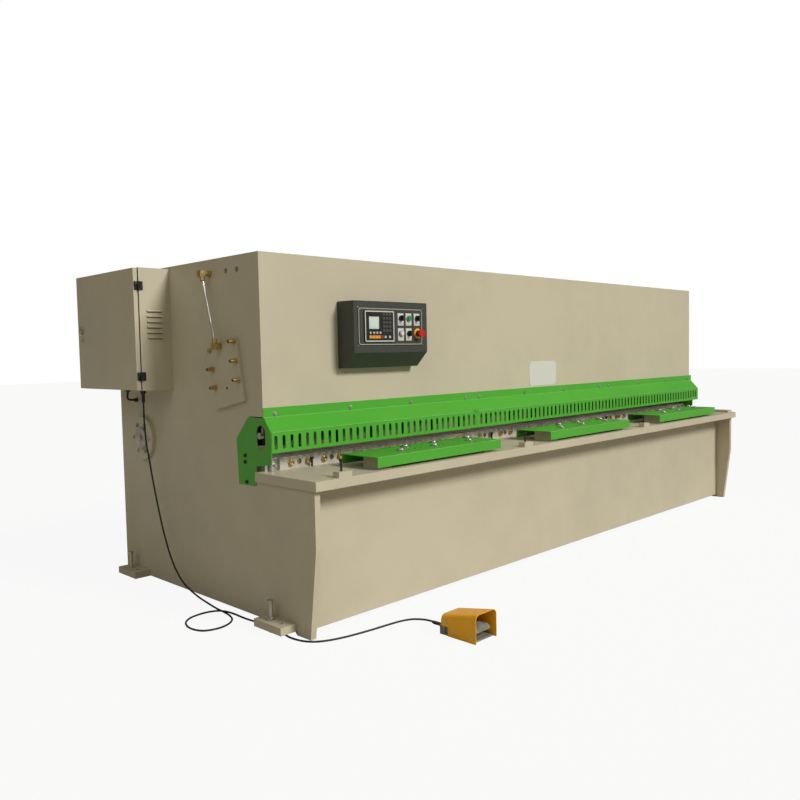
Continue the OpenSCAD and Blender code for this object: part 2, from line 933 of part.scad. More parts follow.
module pedal_base() {
    x0 = pedal_x0 + 3;
    x1 = pedal_x0 + pedal_w - 3;
    rear = pedal_y0 + pedal_l + 10;
    color("#8f8f83") difference() {
        union() {
            block(x0, x1, -850, rear, 0, base_h);
            block(x0, x1, rear - 30, rear, 0, block_h);
            for (x = [x0 + 6, x1 - 16])
                block(x, x + 10, treadle_y - 10, rear - 20, 0, treadle_z + 10);
            rod_y(rear - 1, rear + 19, cord_in_x, cord_in_z, 9);
        }
        rod_y(rear + 4, rear + 20, cord_in_x, cord_in_z, cord_d / 2 + 0.2);
        rod_x(x0 - 1, x1 + 1, treadle_y, treadle_z, 4.4);
    }
}

module pedal_treadle() {
    x0 = pedal_mid - treadle_w / 2;
    x1 = pedal_mid + treadle_w / 2;
    color("#77776c") union() {
        along_x(x0, x1) polygon([[treadle_y - 2, 37], [treadle_y - 2, 51], [-832, 57],
                                 [-848, 48], [-848, 36], [-838, 42]]);
        rod_x(x0, x1, treadle_y, treadle_z, 9);
        rod_x(x0 - 16, x1 + 16, treadle_y, treadle_z, 4);
    }
}

gland_x = cab_x + 100;
gland_y = cabinet_y + 140;
gland_bottom = cabinet_z - 68;

module cable_gland() {
    color("#1c1c1c") translate([gland_x, gland_y, 0]) difference() {
        union() {
            translate([0, 0, cabinet_z - 22]) cylinder(h = 22, r = 14);
            translate([0, 0, gland_bottom]) cylinder(h = 47, r = 8.5);
            translate([0, 0, cabinet_z - 1]) cylinder(h = 14, r = 9.7);
        }
        translate([0, 0, gland_bottom - 1]) cylinder(h = 90, r = cord_d / 2 + 0.2);
    }
}

floor_z = cord_d / 2 + 0.3;
cord_route = [
    [-2265, 925, 1010], [-2265, 925, 970], [-2264, 926, 900], [-2262, 920, 800],
    [-2257, 902, 700], [-2250, 877, 566], [-2242, 850, 440], [-2234, 815, 310],
    [-2225, 757, 175], [-2217, 673, 82], [-2211, 560, 36], [-2209, 448, 15],
    [-2210, 367, 6], [-2214, 300, 5], [-2224, 235, 5], [-2250, 175, 5],
    [-2300, 135, 5], [-2363, 124, 5], [-2422, 150, 5], [-2442, 221, 5],
    [-2420, 298, 5], [-2371, 345, 5], [-2311, 358, 6], [-2262, 335, 12],
    [-2228, 290, 16], [-2208, 230, 12], [-2198, 150, 5], [-2192, 60, 5],
    [-2188, -60, 5], [-2200, -150, 5], [-2210, -225, 5], [-2195, -300, 5],
    [-2150, -352, 5], [-2060, -388, 5], [-1930, -410, 5], [-1800, -422, 5],
    [-1733, -432, 5], [-1693, -462, 9], [-1680, -515, 16], [-1690, -570, 25],
    [-1702, -615, 30], [-1705, -652, 30]];

function route_at(i) = cord_route[max(0, min(len(cord_route) - 1, i))];

// A point on the smooth curve through the route, t from 0 to 1 between points i and i + 1
function on_route(i, t) =
    let (a = route_at(i - 1), b = route_at(i), c = route_at(i + 1), d = route_at(i + 2))
    0.5 * (2 * b + (c - a) * t + (2 * a - 5 * b + 4 * c - d) * t * t
           + (3 * b - a - 3 * c + d) * t * t * t);

cord_line = concat([for (i = [0 : len(cord_route) - 2], t = [0, 0.5]) on_route(i, t)],
                   [route_at(len(cord_route) - 1)]);

function heading(p, i) =
    let (v = p[min(len(p) - 1, i + 1)] - p[max(0, i - 1)]) v / norm(v);

function side_of(h) = let (s = abs(h[2]) > 0.9 ? cross(h, [0, 1, 0]) : cross(h, [0, 0, 1]))
    s / norm(s);

// Each ring's side vector is the last one turned as little as the curve asks
function carried(p, i) = i == 0 ? side_of(heading(p, 0)) :
    let (last = carried(p, i - 1), h = heading(p, i), s = last - (last * h) * h) s / norm(s);

module tube(p, r, sides) {
    n = len(p);
    points = [for (i = [0 : n - 1])
                  let (h = heading(p, i), s = carried(p, i), u = cross(h, s))
                  for (k = [0 : sides - 1])
                      p[i] + r * (cos(360 * k / sides) * s + sin(360 * k / sides) * u)];
    walls = [for (i = [0 : n - 2], k = [0 : sides - 1])
                 let (m = (k + 1) % sides)
                 [i * sides + k, (i + 1) * sides + k, (i + 1) * sides + m, i * sides + m]];
    ends = [[for (k = [0 : sides - 1]) k], [for (k = [sides - 1 : -1 : 0]) (n - 1) * sides + k]];
    polyhedron(points = points, faces = concat(walls, ends), convexity = 8);
}

module pedal_cord() {
    color("#161616") tube(cord_line, cord_d / 2, 8);
}

in_place() left_side_plate();
in_place() right_side_plate();
in_place() front_plate();
in_place() front_panel();
in_place() worktable();
in_place() lower_blade_seat();
in_place() lower_blade();
in_place() finger_guard_left();
in_place() finger_guard_right();
in_place() left_end_guard();
in_place() right_end_guard();
in_place() control_box();
in_place() control_fascia();
in_place() controller();
in_place() green_button();
in_place() white_button();
in_place() selector_left();
in_place() selector_right();
in_place() selector_lower();
in_place() emergency_stop();
in_place() cabinet_body();
in_place() cabinet_mounting_plate();
in_place() cabinet_door();
in_place() door_hinges();
in_place() door_lock();
in_place() pivot_flange_left();
in_place() pivot_flange_right();
in_place() guide_plate_left();
in_place() guide_plate_right();
in_place() oil_pipe();
in_place() pipe_fittings();
in_place() feet_left();
in_place() feet_right();
in_place() levelling_screws();
in_place() ball_tray_left();
in_place() ball_tray_middle();
in_place() ball_tray_right();
in_place() tray_blocks();
in_place() table_pads();
in_place() stop_pins();
in_place() blade_beam();
in_place() upper_blade();
in_place() hold_downs();
in_place() rear_tie_beam();
in_place() oil_tank();
in_place() cylinder_barrels();
in_place() cylinder_rods();
in_place() back_gauge();
in_place() cable_gland();
in_place() pedal_cord();
in_place() pedal_base();
in_place() pedal_treadle();
in_place() pedal_hood();
in_place() delivery_slope();
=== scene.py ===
# %% [markdown]
# # Dressing a hydraulic guillotine shear
#
# The machine is a welded steel frame about four and a third metres long. It cuts sheet metal
# between a fixed lower blade and an upper blade on a swinging beam. The frame model already
# holds every plate at its real size. This lesson adds the finishes and the small pieces: the
# bolts, the ball units, the panel's keys, the hoods of the louvres and the cord's jacket.

# %% The frame and its measures
import json
import math

import bpy
from mathutils import Matrix, Vector


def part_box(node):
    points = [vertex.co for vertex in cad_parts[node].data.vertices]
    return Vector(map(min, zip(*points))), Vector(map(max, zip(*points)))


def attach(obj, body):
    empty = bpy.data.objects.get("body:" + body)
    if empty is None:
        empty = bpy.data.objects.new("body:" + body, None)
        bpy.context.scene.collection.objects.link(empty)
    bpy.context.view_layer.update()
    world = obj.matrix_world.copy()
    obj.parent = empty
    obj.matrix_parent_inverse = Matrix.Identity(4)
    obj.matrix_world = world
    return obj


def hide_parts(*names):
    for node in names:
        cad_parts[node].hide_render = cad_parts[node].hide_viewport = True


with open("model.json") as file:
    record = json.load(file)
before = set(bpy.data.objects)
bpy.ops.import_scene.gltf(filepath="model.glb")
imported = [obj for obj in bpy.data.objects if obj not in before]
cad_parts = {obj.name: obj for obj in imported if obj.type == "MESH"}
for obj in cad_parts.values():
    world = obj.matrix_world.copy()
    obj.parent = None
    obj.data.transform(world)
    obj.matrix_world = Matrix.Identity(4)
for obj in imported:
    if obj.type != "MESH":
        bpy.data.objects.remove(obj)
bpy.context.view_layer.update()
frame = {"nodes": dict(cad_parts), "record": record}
plate_low, plate_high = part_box("front_plate")
mid_x = (plate_low.x + plate_high.x) / 2
face_y = plate_low.y
half_l = (plate_high.x - plate_low.x) / 2 * 1000


def at(x, y, z):
    """A place in millimetres from the front plate's face and middle, in the frame's metres."""
    return Vector((mid_x + x / 1000, face_y + y / 1000, z / 1000))


print("machine", round(2 * half_l), "mm long, front plate's face at y", round(face_y, 3))

# %% [markdown]
# ## Camera
#
# The camera was worked out from the straight edges of the machine: the edges that run along
# the blades meet in one vanishing point and the edges that run back meet in another. The two
# points give the turn of the camera and its focal length, and the machine's height gives its
# distance. It stands near the left front corner, at the height of a person's chest.

# %% Camera
camera_yaw = 0.788
camera_pitch = 0.0596
camera_roll = -0.0205
focal_pixels = 787.28
picture_pixels = 800
sensor_mm = 36

ahead = Vector((math.sin(camera_yaw) * math.cos(camera_pitch),
                math.cos(camera_yaw) * math.cos(camera_pitch),
                -math.sin(camera_pitch)))
level = ahead.cross(Vector((0, 0, 1))).normalized()
upright = level.cross(ahead)
right = math.cos(camera_roll) * level + math.sin(camera_roll) * upright
up = math.cos(camera_roll) * upright - math.sin(camera_roll) * level

bpy.ops.object.camera_add(location=at(-4241, -2941, 1232))
camera = bpy.context.active_object
camera.name = "camera"
turn = Matrix((right, up, -ahead)).transposed()
camera.rotation_euler = turn.to_euler()
camera.data.sensor_width = sensor_mm
camera.data.lens = sensor_mm * focal_pixels / picture_pixels
camera.data.clip_end = 200
bpy.context.scene.camera = camera
print("lens", round(camera.data.lens, 2), "mm")

# %% [markdown]
# ## Maths on shader sockets
#
# A finish such as enamel is a colour that drifts a little over a plate, a gloss that drifts
# with it, and a fine ripple in the surface. In the node editor each sum is a Math node. It is
# easier to read as an expression, so a small class wraps a socket: adding or multiplying two
# of them adds the Math node behind the scenes. Every pattern reads Object coordinates, which
# are metres in the frame, so its scale is the real one.

# %% Socket maths
class Value:
    """One output socket of a material, which can be used in sums."""

    def __init__(self, finish, socket):
        self.finish = finish
        self.socket = socket

    def math(self, operation, first, second):
        return self.finish.add("ShaderNodeMath", {"operation": operation}, first, second)

    def __add__(self, other):
        return self.math("ADD", self, other)

    def __radd__(self, other):
        return self.math("ADD", other, self)

    def __sub__(self, other):
        return self.math("SUBTRACT", self, other)

    def __rsub__(self, other):
        return self.math("SUBTRACT", other, self)

    def __mul__(self, other):
        return self.math("MULTIPLY", self, other)

    def __rmul__(self, other):
        return self.math("MULTIPLY", other, self)

    def __pow__(self, other):
        return self.math("POWER", self, other)

    def over(self, limit):
        """1 where the value is over the limit, and 0 elsewhere."""
        return self.math("GREATER_THAN", self, limit)


class Finish:
    """A material with a Principled shader, whose patterns read Object coordinates."""

    def __init__(self, name, colour, roughness, metallic=0.0):
        self.material = bpy.data.materials.new(name)
        self.material.use_nodes = True
        self.nodes = self.material.node_tree.nodes
        self.links = self.material.node_tree.links
        self.shader = self.nodes["Principled BSDF"]
        self.flat = (*colour, 1)
        self.material.diffuse_color = self.flat
        self.set("Base Color", self.flat)
        self.set("Roughness", roughness)
        self.set("Metallic", metallic)

    def add(self, kind, settings, *values, out=0, **named):
        """Adds a node, sets it, and fills its sockets in order or by name."""
        node = self.nodes.new(kind)
        for key, setting in settings.items():
            setattr(node, key, setting)
        for key, value in [*enumerate(values), *named.items()]:
            self.fill(node.inputs[key], value)
        return Value(self, node.outputs[out])

    def fill(self, socket, value):
        if isinstance(value, Value):
            self.links.new(value.socket, socket)
        elif value is not None:
            socket.default_value = value

    def set(self, name, value):
        self.fill(self.shader.inputs[name], value)

    def place(self, stretch=(1, 1, 1)):
        """Object coordinates, scaled along each axis."""
        where = self.add("ShaderNodeTexCoord", {}, out=3)
        return self.add("ShaderNodeMapping", {}, Vector=where, Scale=stretch)

    def noise(self, scale, detail=3, stretch=(1, 1, 1)):
        return self.add("ShaderNodeTexNoise", {}, Vector=self.place(stretch), Scale=scale,
                        Detail=detail)

    def flecks(self, scale):
        return self.add("ShaderNodeTexVoronoi", {}, Vector=self.place(), Scale=scale)

    def range(self, value, low, high, soft_low=0.0, soft_high=1.0):
        """Stretches the part of a value between low and high to soft_low and soft_high."""
        node = self.add("ShaderNodeMapRange", {"clamp": True}, value, low, high, soft_low,
                        soft_high)
        return node

    def blend(self, first, second, mask):
        """The first colour where the mask is 0, and the second where it is 1."""
        node = self.nodes.new("ShaderNodeMix")
        node.data_type = "RGBA"
        for slot, value in ((0, mask), (6, first), (7, second)):
            if isinstance(value, tuple) and len(value) == 3:
                value = (*value, 1)
            self.fill(node.inputs[slot], value)
        return Value(self, node.outputs[2])

    def shade(self, colour, mask):
        """Drifts the base colour towards another one under a mask."""
        self.set("Base Color", self.blend(self.flat, colour, mask))

    def ripple(self, height, strength, depth_mm=0.2):
        bump = self.nodes.new("ShaderNodeBump")
        bump.inputs["Strength"].default_value = strength
        bump.inputs["Distance"].default_value = depth_mm / 1000
        self.fill(bump.inputs["Height"], height)
        self.links.new(bump.outputs["Normal"], self.shader.inputs["Normal"])


def tint(colour, factor):
    """A colour made lighter or darker."""
    return tuple(min(1.0, part * factor) for part in colour)


# %% [markdown]
# ## Enamel, steel and the other finishes
#
# Machine enamel is sprayed in one thick coat. It has a satin gloss, a faint orange peel and
# slow changes of tone where the coat is thicker. Ground steel has fine lines along the way it
# was ground, so its noise is stretched along one axis, and it carries patches of oil. Cast
# metal is grainy and cord jackets are nearly matt.

# %% Finishes
def enamel(name, colour, roughness=0.42, peel=0.25):
    finish = Finish(name, colour, roughness)
    broad = finish.noise(0.9, 3)
    cloud = finish.noise(7, 4)
    finish.shade(tint(colour, 0.86), finish.range(0.7 * broad + 0.3 * cloud, 0.40, 0.75))
    finish.set("Roughness", roughness - 0.06 + 0.14 * cloud)
    finish.ripple(finish.noise(330, 2), peel, 0.25)
    return finish


def ground_steel(name, colour, roughness=0.34, stretch=(0.04, 1, 1), metallic=1.0):
    finish = Finish(name, colour, roughness, metallic)
    lines = finish.noise(900, 2, stretch)
    oil = finish.noise(11, 4)
    patch = finish.range(oil, 0.45, 0.66)
    finish.shade(tint(colour, 0.62), 0.75 * patch)
    finish.set("Roughness", roughness - 0.08 + 0.22 * lines + 0.08 * patch)
    finish.ripple(lines, 0.25, 0.05)
    return finish


def turned_metal(name, colour, roughness=0.28):
    finish = Finish(name, colour, roughness, 1.0)
    stain = finish.noise(140, 3)
    finish.shade(tint(colour, 0.55), finish.range(stain, 0.42, 0.72))
    finish.set("Roughness", roughness - 0.05 + 0.25 * stain)
    finish.ripple(finish.noise(1500, 2), 0.2, 0.04)
    return finish


def plastic(name, colour, roughness=0.35):
    finish = Finish(name, colour, roughness)
    grain = finish.noise(1400, 2)
    finish.set("Roughness", roughness - 0.04 + 0.1 * grain)
    finish.ripple(grain, 0.12, 0.04)
    return finish


def textured_enamel(name, colour):
    finish = Finish(name, colour, 0.5)
    grain = finish.flecks(420)
    finish.shade(tint(colour, 1.7), finish.range(grain, 0.35, 0.75))
    finish.set("Roughness", 0.42 + 0.25 * grain)
    finish.ripple(grain, 0.45, 0.2)
    return finish


def cast_metal(name, colour):
    finish = Finish(name, colour, 0.6)
    grain = finish.noise(520, 4)
    patch = finish.noise(38, 3)
    finish.shade(tint(colour, 0.6), finish.range(patch, 0.45, 0.7))
    finish.set("Roughness", 0.5 + 0.25 * grain)
    finish.ripple(grain, 0.5, 0.3)
    return finish


def jacket(name, colour):
    finish = Finish(name, colour, 0.55)
    scuff = finish.noise(90, 4)
    finish.shade(tint(colour, 2.6), finish.range(scuff, 0.58, 0.8))
    finish.set("Roughness", 0.45 + 0.3 * scuff)
    finish.ripple(finish.noise(1100, 2), 0.25, 0.06)
    return finish


beige = (0.560, 0.500, 0.360)
bright_green = (0.075, 0.395, 0.028)
finishes = {
    "beige_paint": enamel("beige_enamel", beige),
    "green_paint": enamel("green_enamel", bright_green, 0.36),
    "dark_paint": textured_enamel("dark_textured_enamel", (0.030, 0.034, 0.026)),
    "grey_paint": enamel("grey_primer", (0.045, 0.047, 0.040), 0.7),
    "bare_steel": ground_steel("ground_steel", (0.62, 0.60, 0.55)),
    "blade_steel": ground_steel("blade_steel", (0.66, 0.66, 0.66), 0.26),
    "chromed_rod": turned_metal("chromed_rod", (0.75, 0.76, 0.78), 0.1),
    "brass": turned_metal("machined_brass", (0.66, 0.47, 0.20), 0.3),
    "black_plastic": plastic("black_plastic", (0.016, 0.016, 0.018)),
    "green_plastic": plastic("green_button_plastic", (0.02, 0.33, 0.07), 0.25),
    "white_plastic": plastic("white_button_plastic", (0.75, 0.66, 0.66), 0.25),
    "red_plastic": plastic("red_button_plastic", (0.56, 0.015, 0.012), 0.25),
    "zinc_plate": ground_steel("yellow_zinc", (0.66, 0.50, 0.20), 0.36),
    "pedal_yellow": enamel("pedal_enamel", (0.95, 0.44, 0.004), 0.34),
    "pedal_grey": cast_metal("pedal_casting", (0.23, 0.23, 0.18)),
    "cord_black": jacket("cord_jacket", (0.012, 0.012, 0.012)),
}

slot_of = {row["node"]: row["material_slot"] for row in frame["record"]["subparts"]}
seat_steel = ground_steel("milled_seat_steel", (0.60, 0.56, 0.48), 0.5, metallic=0.35)
milled_nodes = ("lower_blade_seat", "lower_blade")
for name, node in frame["nodes"].items():
    node.data.materials.clear()
    finish = seat_steel if name in milled_nodes else finishes[slot_of[name]]
    node.data.materials.append(finish.material)
print(len(finishes), "finishes on", len(slot_of), "nodes")

# %% [markdown]
# ## The pedal's cord
#
# The foot pedal hangs on a black rubber cord. It leaves the gland under the cabinet, hangs
# down past the side plate, lies in one loose loop on the floor, slips under the front foot
# and runs to the back of the pedal. The whole of it shows, so its length is what its route
# measures. The route's points are joined by a smooth curve, which gets a round section.

# %% Cord
cord_mm = 9
cord_route = [
    (-2265, 925, 1010), (-2265, 925, 970), (-2264, 926, 900), (-2262, 920, 800),
    (-2257, 902, 700), (-2250, 877, 566), (-2242, 850, 440), (-2234, 815, 310),
    (-2225, 757, 175), (-2217, 673, 82), (-2211, 560, 36), (-2209, 448, 15),
    (-2210, 367, 6), (-2214, 300, 5), (-2224, 235, 5), (-2250, 175, 5),
    (-2300, 135, 5), (-2363, 124, 5), (-2422, 150, 5), (-2442, 221, 5),
    (-2420, 298, 5), (-2371, 345, 5), (-2311, 358, 6), (-2262, 335, 12),
    (-2228, 290, 16), (-2208, 230, 12), (-2198, 150, 5), (-2192, 60, 5),
    (-2188, -60, 5), (-2200, -150, 5), (-2210, -225, 5), (-2195, -300, 5),
    (-2150, -352, 5), (-2060, -388, 5), (-1930, -410, 5), (-1800, -422, 5),
    (-1733, -432, 5), (-1693, -462, 9), (-1680, -515, 16), (-1690, -570, 25),
    (-1702, -615, 30), (-1705, -652, 30)]


def smooth_line(points, steps):
    """Points along the smooth curve that passes through every point of the route."""
    last = len(points) - 1
    line = []
    for i in range(last):
        a, b = points[max(i - 1, 0)], points[i]
        c, d = points[i + 1], points[min(i + 2, last)]
        for step in range(steps):
            t = step / steps
            line.append(0.5 * (2 * b + (c - a) * t + (2 * a - 5 * b + 4 * c - d) * t ** 2
                               + (3 * b - a - 3 * c + d) * t ** 3))
    return line + [points[last]]


def round_cord(name, route, diameter_mm, steps=6):
    """A curve of one spline with a round section, through points in the frame."""
    line = smooth_line(route, steps)
    curve = bpy.data.curves.new(name, "CURVE")
    curve.dimensions = "3D"
    curve.bevel_depth = diameter_mm / 2000
    curve.bevel_resolution = 4
    curve.use_fill_caps = True
    spline = curve.splines.new("POLY")
    spline.points.add(len(line) - 1)
    for point, place in zip(spline.points, line):
        point.co = (*place, 1)
    piece = bpy.data.objects.new(name, curve)
    bpy.context.collection.objects.link(piece)
    length = sum((b - a).length for a, b in zip(line, line[1:]))
    return piece, length


cord, cord_length = round_cord("pedal_cord_jacket", [at(*p) for p in cord_route], cord_mm)
cord.data.materials.append(finishes["cord_black"].material)
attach(cord, "frame")
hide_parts("pedal_cord")
print("cord", round(cord_length, 2), "m long")

# %% [markdown]
# ## Tools for modelling by hand
#
# Each small piece starts as a primitive at its real size and place. Faces are then picked by
# the way they point, inset and pushed, and edges are rounded by a bevel. A finished piece has
# its place in its mesh, with its object at the origin, and rides on a body of the frame.

# %% Modelling helpers
def clear():
    bpy.ops.object.select_all(action="DESELECT")


def settle(name):
    """Names the active object and puts its place, turn and size into its mesh."""
    piece = bpy.context.active_object
    piece.name = name
    piece.data.name = name
    bpy.ops.object.transform_apply(location=True, rotation=True, scale=True)
    return piece


def choose(piece):
    clear()
    piece.select_set(True)
    bpy.context.view_layer.objects.active = piece


def block(name, low, high):
    """A box between two corners."""
    clear()
    bpy.ops.mesh.primitive_cube_add(size=1, location=(low + high) / 2, scale=high - low)
    return settle(name)


turn_to = {"x": (0, math.pi / 2, 0), "-x": (0, -math.pi / 2, 0), "y": (-math.pi / 2, 0, 0),
           "-y": (math.pi / 2, 0, 0), "z": (0, 0, 0)}
way_of = {"x": Vector((1, 0, 0)), "-x": Vector((-1, 0, 0)), "y": Vector((0, 1, 0)),
          "-y": Vector((0, -1, 0)), "z": Vector((0, 0, 1)), "-z": Vector((0, 0, -1))}


def rod(name, foot, way, radius_mm, length_mm, sides=32):
    """A round or many-sided bar that stands on a point and runs one way."""
    clear()
    middle = foot + way_of[way] * length_mm / 2000
    bpy.ops.mesh.primitive_cylinder_add(vertices=sides, radius=radius_mm / 1000,
                                        depth=length_mm / 1000, location=middle,
                                        rotation=turn_to[way])
    return settle(name)


def ball(name, middle, radius_mm, rings=10):
    clear()
    bpy.ops.mesh.primitive_uv_sphere_add(segments=2 * rings, ring_count=rings,
                                         radius=radius_mm / 1000, location=middle)
    return settle(name)


def pick_faces(piece, way):
    """Selects the outermost flat faces that point one way, and enters edit mode."""
    choose(piece)
    mesh = piece.data
    direction = way_of[way]
    facing = [f for f in mesh.polygons if f.normal.dot(direction) > 0.99]
    far = max(f.center.dot(direction) for f in facing)
    for group in (mesh.vertices, mesh.edges, mesh.polygons):
        group.foreach_set("select", [False] * len(group))
    for face in facing:
        face.select = face.center.dot(direction) > far - 1e-5
    bpy.context.tool_settings.mesh_select_mode = (False, False, True)
    bpy.ops.object.mode_set(mode="EDIT")


def shape_face(piece, way, *steps):
    """Runs inset and push steps, in millimetres, on the outermost faces one way."""
    pick_faces(piece, way)
    for step, size in steps:
        if step == "inset":
            bpy.ops.mesh.inset(thickness=size / 1000, depth=0)
        else:
            move = {"value": way_of[way] * size / 1000}
            bpy.ops.mesh.extrude_region_move(TRANSFORM_OT_translate=move)
    bpy.ops.object.mode_set(mode="OBJECT")
    return piece


def bore(piece, way, wall_mm):
    """Cuts a straight hole through a bar, and leaves a wall round it."""
    choose(piece)
    mesh = piece.data
    for group in (mesh.vertices, mesh.edges, mesh.polygons):
        group.foreach_set("select", [False] * len(group))
    for face in mesh.polygons:
        face.select = abs(face.normal.dot(way_of[way])) > 0.99
    bpy.context.tool_settings.mesh_select_mode = (False, False, True)
    bpy.ops.object.mode_set(mode="EDIT")
    bpy.ops.mesh.inset(thickness=wall_mm / 1000, depth=0, use_individual=True)
    bpy.ops.mesh.bridge_edge_loops()
    bpy.ops.mesh.select_all(action="SELECT")
    bpy.ops.mesh.normals_make_consistent(inside=False)
    bpy.ops.object.mode_set(mode="OBJECT")
    return piece


def soften(piece, width_mm, segments=2, angle=40):
    """Rounds the edges that are sharper than an angle, with an applied bevel."""
    choose(piece)
    bevel = piece.modifiers.new("round", "BEVEL")
    bevel.width = width_mm / 1000
    bevel.segments = segments
    bevel.angle_limit = math.radians(angle)
    bpy.ops.object.modifier_apply(modifier=bevel.name)
    return piece


def join(name, parts):
    clear()
    for part in parts:
        part.select_set(True)
    bpy.context.view_layer.objects.active = parts[0]
    bpy.ops.object.join()
    piece = bpy.context.active_object
    piece.name = name
    piece.data.name = name
    return piece


def repeat(name, model, moves):
    """Copies a model to each move, each copy with its own mesh, and joins them."""
    parts = []
    for move in moves:
        part = model.copy()
        part.data = model.data.copy()
        part.data.transform(Matrix.Translation(move))
        bpy.context.collection.objects.link(part)
        parts.append(part)
    bpy.data.objects.remove(model)
    return join(name, parts)


def keep(piece, slot, body="frame", finish=None):
    """Finishes a piece: smooth shading, the material of its slot or of a given finish, and the body it
    rides on.
    """
    choose(piece)
    bpy.ops.object.shade_smooth_by_angle(angle=math.radians(35))
    piece.data.materials.clear()
    piece.data.materials.append((finish or finishes[slot]).material)
    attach(piece, body)
    return piece


def hex_bolt(name, seat, way, head_mm, height_mm):
    """A hexagon head on its washer, with the top's corners turned off."""
    washer = rod(name + "_washer", seat, way, head_mm * 0.62, height_mm * 0.28, 24)
    head = rod(name + "_head", seat + way_of[way] * height_mm * 0.00028, way, head_mm / 2,
               height_mm, 6)
    shape_face(head, way, ("inset", head_mm * 0.05), ("push", height_mm * 0.12))
    return join(name, [washer, head])


def shift(x=0, y=0, z=0):
    return Vector((x, y, z)) / 1000


def plate(name, x0, x1, z0, z1, y, proud, round_mm=0.4):
    """A rounded plate that stands proud of a face that looks forwards at y."""
    return soften(block(name, at(x0, y - proud, z0), at(x1, y, z1)), round_mm)


def rim(name, low, high, corner_mm, width_mm, proud_mm):
    """A flat frame with round corners, proud of a face that looks forwards."""
    clear()
    bpy.ops.mesh.primitive_plane_add(size=1, location=(low + high) / 2,
                                     rotation=(math.pi / 2, 0, 0))
    bpy.context.active_object.scale = (high.x - low.x, high.z - low.z, 1)
    piece = settle(name)
    bpy.context.tool_settings.mesh_select_mode = (True, False, False)
    bpy.ops.object.mode_set(mode="EDIT")
    bpy.ops.mesh.select_all(action="SELECT")
    bpy.ops.mesh.bevel(offset=corner_mm / 1000, segments=5, affect="VERTICES")
    bpy.ops.mesh.select_mode(type="FACE")
    bpy.ops.mesh.select_all(action="SELECT")
    bpy.ops.mesh.inset(thickness=width_mm / 1000, depth=0)
    bpy.ops.mesh.delete(type="FACE")
    bpy.ops.mesh.select_all(action="SELECT")
    step = {"value": way_of["-y"] * proud_mm / 1000}
    bpy.ops.mesh.extrude_region_move(TRANSFORM_OT_translate=step)
    bpy.ops.mesh.select_all(action="SELECT")
    bpy.ops.mesh.normals_make_consistent(inside=False)
    bpy.ops.object.mode_set(mode="OBJECT")
    return piece


def lean(piece, foot, degrees):
    """Turns a piece about a line along the blades, through a point."""
    turn = Matrix.Rotation(math.radians(degrees), 4, "X")
    piece.data.transform(Matrix.Translation(foot) @ turn @ Matrix.Translation(-foot))
    return piece


# %% [markdown]
# ## Bolts of the blade seat
#
# The lower blade's seat is held by a long row of round bolt heads, plated in yellow zinc.
# Between every second pair is an open counterbore with a socket screw deep inside, which
# locks the seat after it is set. A small clamp stands at each end of the seat.

# %% Seat bolts
seat_y = 20
seat_bolt_z = 729
bolt_places = range(-2000, 2001, 100)
hole_places = range(-1950, 1851, 200)

seat_bolt = rod("seat_bolt", at(0, seat_y, seat_bolt_z), "-y", 15, 12, 24)
shape_face(seat_bolt, "-y", ("inset", 2.5), ("push", 1.5), ("inset", 5), ("push", -5))
keep(repeat("seat_bolts", seat_bolt, [shift(x) for x in bolt_places]), "zinc_plate")

socket = rod("socket_screw", at(0, seat_y + 18, seat_bolt_z), "-y", 9, 9, 24)
shape_face(socket, "-y", ("inset", 4), ("push", -6))
keep(repeat("seat_screws", socket, [shift(x) for x in hole_places]), "bare_steel")
clamps = []
for x in (-2116, 2080):
    clamp = soften(block("seat_clamp", at(x, 14, 700), at(x + 36, 38, 752)), 2)
    screw = rod("clamp_screw", at(x + 18, 14, 728), "-y", 9, 8, 6)
    clamps += [clamp, shape_face(screw, "-y", ("inset", 2), ("push", 1))]
keep(join("seat_clamps", clamps), "bare_steel")
print(len(bolt_places), "bolts and", len(hole_places), "socket screws")

# %% [markdown]
# ## Screws of the finger guard
#
# The guard's top flange is screwed to the front plate with small domed screws. A short bent
# strap covers the joint between its two sections. Along each fold lies a thin round bead of
# lighter green, a painted highlight on the bend. Three bolts and a latch hold
# the end guard.

# %% Guard screws
guard_seam_x = -725
guard_screw_z = 967
guard_screws = [-2099, -1638, -1206, -748, -624, -170, 272, 724, 850, 1299, 1736, 2120]
dome = rod("guard_screw", at(0, -3, guard_screw_z), "-y", 10, 3, 20)
shape_face(dome, "-y", ("inset", 2), ("push", 1.5), ("inset", 2.5), ("push", 0.8))
keep(repeat("guard_screws", dome, [shift(x) for x in guard_screws]), "bare_steel")

strap = block("guard_strap", at(guard_seam_x - 22, -66, 884), at(guard_seam_x + 22, -63, 900))
keep(soften(strap, 1.2), "green_paint")

# A lighter green for the beads on the guard's folds and on the tray lips: a painted highlight.
painted_highlight_green = enamel("painted_highlight_green_fold", (0.20, 0.56, 0.12), 0.3)
folds = []
for y, z in ((-3.3, 952), (-63.3, 888)):
    for x0, x1 in ((-2164, guard_seam_x - 1), (guard_seam_x + 1, 2194)):
        folds.append(rod("fold", at(x0, y, z), "x", 1.6, x1 - x0, 10))
keep(join("guard_folds", folds), "green_paint", finish=painted_highlight_green)

cap = block("guard_end_cap", at(2189, -61.5, 812), at(2191, -4, 948))
choose(cap)
bpy.ops.object.mode_set(mode="EDIT")
bpy.ops.mesh.select_all(action="SELECT")
bpy.ops.mesh.bisect(plane_co=at(2190, -61.5, 886), plane_no=(0, -0.73, 0.684),
                    use_fill=True, clear_outer=True)
bpy.ops.object.mode_set(mode="OBJECT")
keep(soften(cap, 0.5), "green_paint")

